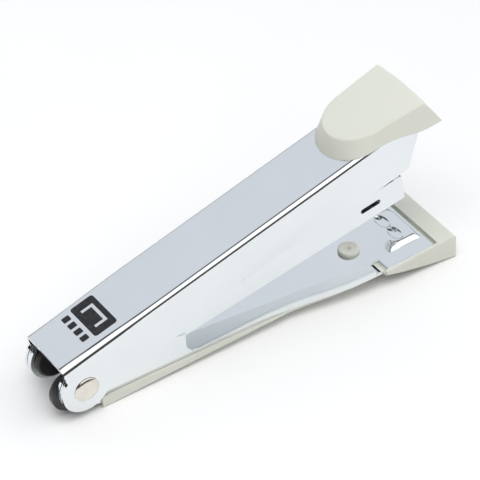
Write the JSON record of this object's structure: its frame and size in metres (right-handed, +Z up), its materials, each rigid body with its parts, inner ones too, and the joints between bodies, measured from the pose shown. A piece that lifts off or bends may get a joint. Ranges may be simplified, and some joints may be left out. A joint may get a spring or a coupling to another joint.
{
  "type": "stapler",
  "caption": "Small pressed-steel desk stapler in chrome plate with pale grey plastic cap and base underlay.",
  "frame": {"origin": "on the table, under the middle of the object's length and width", "axes": "+X towards the nose, where the staple comes out; +Z up; +Y to the left of someone facing the nose"},
  "size_m": [0.1039, 0.0222, 0.047],
  "materials": {
    "chrome_plate": "polished",
    "rivet_nickel": "satin",
    "spring_steel": "satin",
    "ivory_plastic": "satin",
    "black_plastic": "matte",
    "staple_wire": "bright"
  },
  "bodies": {
    "base": {"base_frame": "chrome_plate", "base_shell": "ivory_plastic", "base_peg": "ivory_plastic", "anvil_plate": "chrome_plate", "return_spring": "spring_steel", "return_rivet": "rivet_nickel", "pivot_pin": "rivet_nickel", "pin_washer": "rivet_nickel", "near_bush": "black_plastic", "far_bush": "black_plastic"},
    "magazine": {"magazine_channel": "chrome_plate", "nose_plate": "chrome_plate", "staple_rail": "spring_steel", "guide_rod": "spring_steel", "staple_strip": "staple_wire", "pusher_spring": "spring_steel", "lift_spring": "spring_steel"},
    "pusher": {"staple_pusher": "spring_steel"},
    "handle": {"handle_cover": "chrome_plate", "handle_cap": "ivory_plastic", "driver_leaf": "spring_steel", "driver_blade": "spring_steel", "leaf_rivet": "rivet_nickel"}
  },
  "joints": [
    {"name": "magazine_hinge", "type": "hinge", "parent": "base", "child": "magazine", "pos_m": [-0.04481, 0, 0.0079], "axis": [0, -1, 0], "range_deg": [-8.6, 60], "stiffness_Nm_per_rad": 0.15, "deforming": ["return_spring"]},
    {"name": "handle_hinge", "type": "hinge", "parent": "magazine", "child": "handle", "pos_m": [-0.04481, 0, 0.0079], "axis": [0, -1, 0], "range_deg": [-5.6, 75], "stiffness_Nm_per_rad": 0.15, "deforming": ["lift_spring"]},
    {"name": "pusher_slide", "type": "slide", "parent": "magazine", "child": "pusher", "axis": [0.9829, 0, 0.184], "range_m": [-0.027, 0], "deforming": ["pusher_spring"]}
  ]
}
